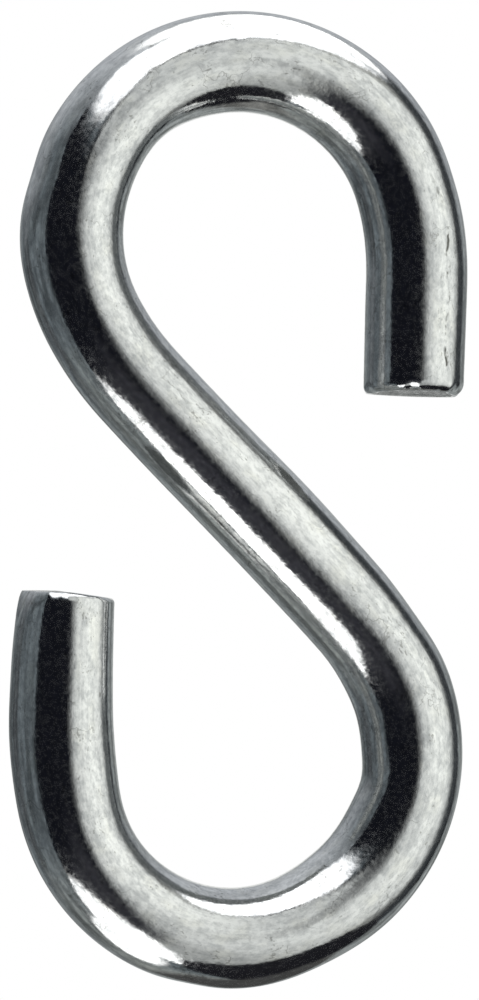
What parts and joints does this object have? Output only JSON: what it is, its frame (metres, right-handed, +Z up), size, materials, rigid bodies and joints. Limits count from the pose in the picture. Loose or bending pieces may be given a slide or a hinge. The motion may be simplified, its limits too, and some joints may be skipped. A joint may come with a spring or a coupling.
{
  "type": "safety chain hook",
  "caption": "S-shaped safety chain hook bent from round steel bar, with open bows at top and bottom and cropped ends, bright zinc plated, for linking a trailer chain to a hitch.",
  "frame": {"origin": "bearing point at the middle of the inside of the upper bow, from which the hook hangs", "axes": "+Z up along the hook's length, +X to the right seen from the front with the upper tip on the right, -Y out of the front face"},
  "size_m": [0.0442, 0.0096, 0.0919],
  "materials": {
    "bright_zinc": "bright zinc plate with a clear passivate on drawn steel bar, faint die lines along the bar, small pits and handling scuffs"
  },
  "bodies": {
    "root": {"s_hook": "bright_zinc"}
  },
  "joints": []
}
